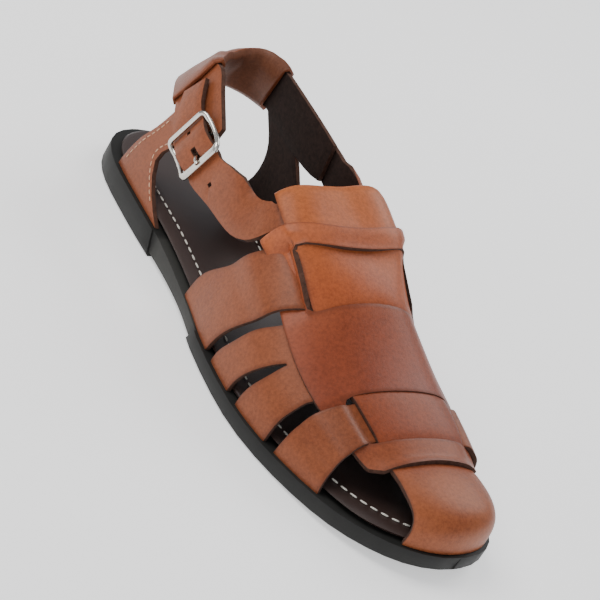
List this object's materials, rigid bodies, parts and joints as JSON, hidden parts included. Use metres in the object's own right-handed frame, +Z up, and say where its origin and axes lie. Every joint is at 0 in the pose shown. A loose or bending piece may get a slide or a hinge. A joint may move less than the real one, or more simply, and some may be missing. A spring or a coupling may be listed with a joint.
{
  "type": "fisherman sandal",
  "caption": "Right fisherman sandal in cognac leather: woven straps, padded heel strap, side buckle, dark footbed and black rubber sole",
  "frame": {"origin": "on the floor, under the middle of the sandal's bounding box", "axes": "Z up, +Y from toe to heel along the sole, +X towards the inner (medial) side of the foot"},
  "size_m": [0.1052, 0.2897, 0.0882],
  "materials": {
    "sole_rubber": "matte moulded rubber",
    "footbed_leather": "smooth dark leather with a slight gloss",
    "strap_leather": "waxed cognac leather, semi-gloss",
    "sleeve_leather": "soft padded leather, semi-gloss",
    "buckle_metal": "polished nickel plate"
  },
  "bodies": {
    "root": {"outsole": "sole_rubber", "insole": "footbed_leather", "vamp": "strap_leather", "quarter_lateral": "strap_leather", "quarter_medial": "strap_leather", "heel_sleeve": "sleeve_leather", "instep_strap": "strap_leather", "buckle_frame": "buckle_metal", "buckle_prong": "buckle_metal"}
  },
  "joints": []
}
